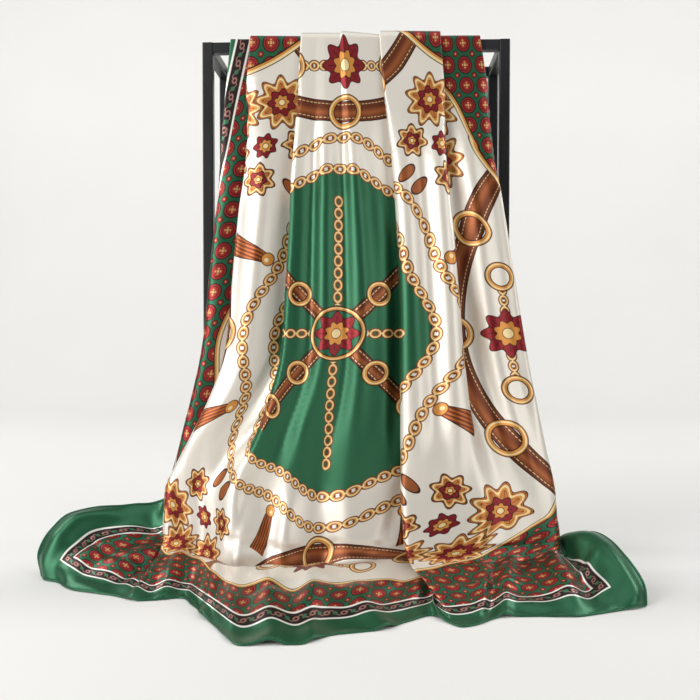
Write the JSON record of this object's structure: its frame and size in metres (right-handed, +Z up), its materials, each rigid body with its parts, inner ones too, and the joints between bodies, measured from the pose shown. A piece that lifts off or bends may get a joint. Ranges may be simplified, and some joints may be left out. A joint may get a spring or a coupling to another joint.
{
  "type": "silk square scarf on a metal display rack",
  "caption": "A printed silk satin square scarf folded in soft pleats over the top bar of a slim box-frame display rack, its front hem pooled on the surface",
  "frame": {"origin": "under the middle of the whole part's box, on the surface that the rack stands on", "axes": "+X to the right seen from the front, +Y to the back, +Z up; the front of the scarf faces -Y"},
  "size_m": [0.644, 0.386, 0.6108],
  "materials": {
    "satin": "glossy printed silk satin with a soft sheen",
    "black_steel": "black powder-coated square steel tube, satin sheen"
  },
  "bodies": {
    "root": {"scarf_cloth": "satin", "rack_post_front_left": "black_steel", "rack_post_front_right": "black_steel", "rack_bottom_bar_front": "black_steel", "rack_top_bar_front": "black_steel", "rack_post_rear_left": "black_steel", "rack_post_rear_right": "black_steel", "rack_bottom_bar_rear": "black_steel", "rack_top_bar_rear": "black_steel", "rack_bottom_bar_left": "black_steel", "rack_top_bar_left": "black_steel", "rack_bottom_bar_right": "black_steel", "rack_top_bar_right": "black_steel"}
  },
  "joints": []
}
